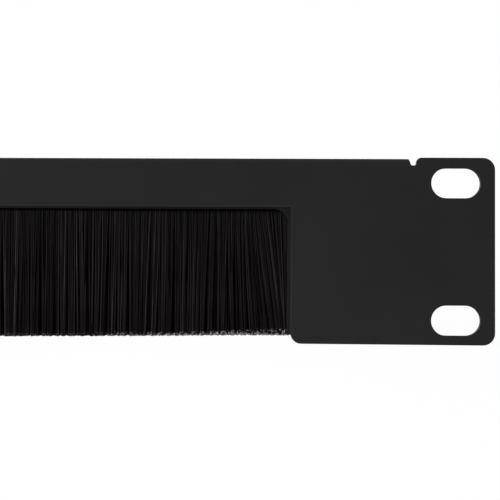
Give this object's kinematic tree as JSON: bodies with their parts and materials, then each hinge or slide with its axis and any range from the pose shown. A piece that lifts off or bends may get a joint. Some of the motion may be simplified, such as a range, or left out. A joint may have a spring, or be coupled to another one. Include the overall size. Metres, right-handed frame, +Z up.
{
  "type": "rack brush strip panel",
  "caption": "Low black sheet-steel rack panel, open at the bottom between its slotted ears, with a hanging curtain of black bristles that cables pass through.",
  "frame": {"origin": "middle of the rack slots, on the back face of the ears, where they lie on the rack's rails", "axes": "+X along the panel to the right as seen from the front, +Y back into the rack, +Z up"},
  "size_m": [0.483, 0.014, 0.0437],
  "materials": {
    "panel_paint": "matt black powder coat",
    "carrier_paint": "matt black powder coat",
    "channel_steel": "galvanised strip",
    "wire_steel": "drawn wire",
    "bristle_nylon": "black nylon filament",
    "fastener_steel": "bright zinc plate"
  },
  "bodies": {
    "root": {"front_panel": "panel_paint", "brush_carrier": "carrier_paint", "brush_channel": "channel_steel", "brush_core_wire": "wire_steel", "bristles": "bristle_nylon", "weld_studs": "fastener_steel", "washers": "fastener_steel", "hex_nuts": "fastener_steel"}
  },
  "joints": []
}
